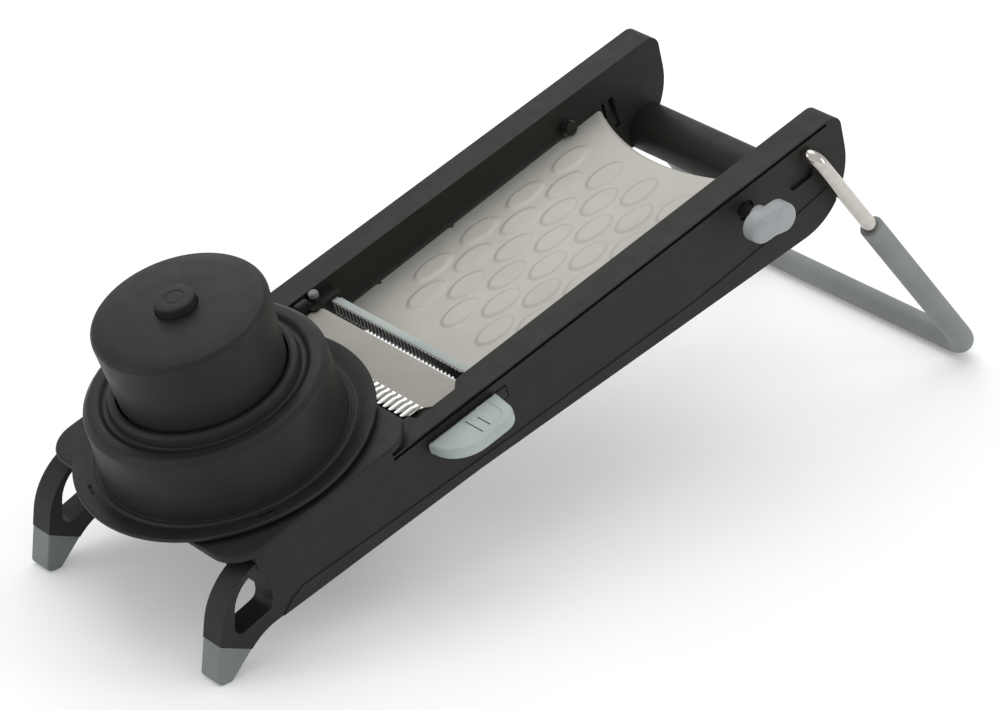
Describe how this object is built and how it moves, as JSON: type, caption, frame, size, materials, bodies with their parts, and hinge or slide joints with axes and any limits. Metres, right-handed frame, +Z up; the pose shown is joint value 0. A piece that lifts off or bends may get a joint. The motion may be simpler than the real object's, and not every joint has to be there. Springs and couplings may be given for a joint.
{
  "type": "mandoline slicer",
  "caption": "Mandoline slicer with sloping rails, reversible blade, embossed feed plate, folding wire stand, side cartridge and sliding hat-shaped food pusher.",
  "frame": {"origin": "middle of the underside of the whole object's box, on the worktop", "axes": "+X from the low front feet to the high back end, +Y to the left rail (away from the wing knob and the cartridge pull), +Z up"},
  "size_m": [0.4822, 0.1784, 0.1602],
  "materials": {
    "body_plastic": "charcoal moulded plastic with a fine satin texture",
    "soft_grey": "mid grey soft overmould, matte",
    "light_grey": "pale grey-green moulded plastic, satin",
    "knob_grey": "pale blue-grey moulded plastic, satin",
    "wire_steel": "polished stainless wire",
    "plate_steel": "warm satin stainless sheet with pressed ovals",
    "blade_steel": "bead-blasted stainless blade with bright ground edges",
    "screw_steel": "plain stainless fasteners and pins"
  },
  "bodies": {
    "frame": {"rail_right": "body_plastic", "rail_left": "body_plastic", "foot_right": "soft_grey", "foot_left": "soft_grey", "rear_bar": "body_plastic", "exit_plate": "body_plastic", "blade_bridge": "body_plastic", "deck_screws": "screw_steel", "blade": "blade_steel", "lock_post": "light_grey", "hinge_peg": "body_plastic"},
    "lock": {"lock_lever": "body_plastic"},
    "feed": {"feed_plate": "plate_steel"},
    "knob": {"wing_knob": "knob_grey", "knob_spindle": "body_plastic", "spindle_collar": "body_plastic"},
    "stand": {"stand_wire": "wire_steel", "stand_sleeve": "soft_grey"},
    "julienne": {"julienne_bar": "light_grey", "julienne_comb": "blade_steel", "julienne_handle": "light_grey"},
    "carriage": {"carriage_base": "body_plastic", "runner_right": "body_plastic", "runner_left": "body_plastic", "food_chute": "body_plastic", "carriage_hood": "body_plastic", "hood_screws": "screw_steel"},
    "pusher": {"pusher_cap": "body_plastic", "pin_plate": "body_plastic", "food_pins": "screw_steel", "button_spring": "screw_steel"},
    "ejector": {"eject_button": "body_plastic", "eject_stem": "body_plastic"}
  },
  "joints": [
    {"name": "stand_fold", "type": "hinge", "parent": "frame", "child": "stand", "pos_m": [0.12267, 0.00415, 0.14658], "axis": [0, 1, 0], "range_deg": [0, 90]},
    {"name": "feed_plate_tilt", "type": "hinge", "parent": "frame", "child": "feed", "pos_m": [0.08392, 0.00415, 0.12962], "axis": [0, 1, 0], "range_deg": [0, 4.6]},
    {"name": "knob_clamp", "type": "hinge", "parent": "frame", "child": "knob", "pos_m": [0.08392, 0.00415, 0.12962], "axis": [0, 1, 0], "range_deg": [0, 120]},
    {"name": "julienne_slide", "type": "slide", "parent": "frame", "child": "julienne", "axis": [0, -1, 0], "range_m": [0, 0.13]},
    {"name": "blade_lock", "type": "hinge", "parent": "frame", "child": "lock", "pos_m": [-0.07848, 0.05735, 0.09454], "axis": [-0.2899, 0, 0.9571], "range_deg": [0, 75]},
    {"name": "carriage_slide", "type": "slide", "parent": "frame", "child": "carriage", "axis": [0.9571, 0, 0.2899], "range_m": [0, 0.19]},
    {"name": "pusher_lift", "type": "slide", "parent": "carriage", "child": "pusher", "axis": [-0.2899, 0, 0.9571], "range_m": [0, 0.036]},
    {"name": "eject_press", "type": "slide", "parent": "pusher", "child": "ejector", "axis": [0.2899, 0, -0.9571], "range_m": [0, 0.0032], "stiffness_N_per_m": 300, "deforming": ["button_spring"]}
  ]
}
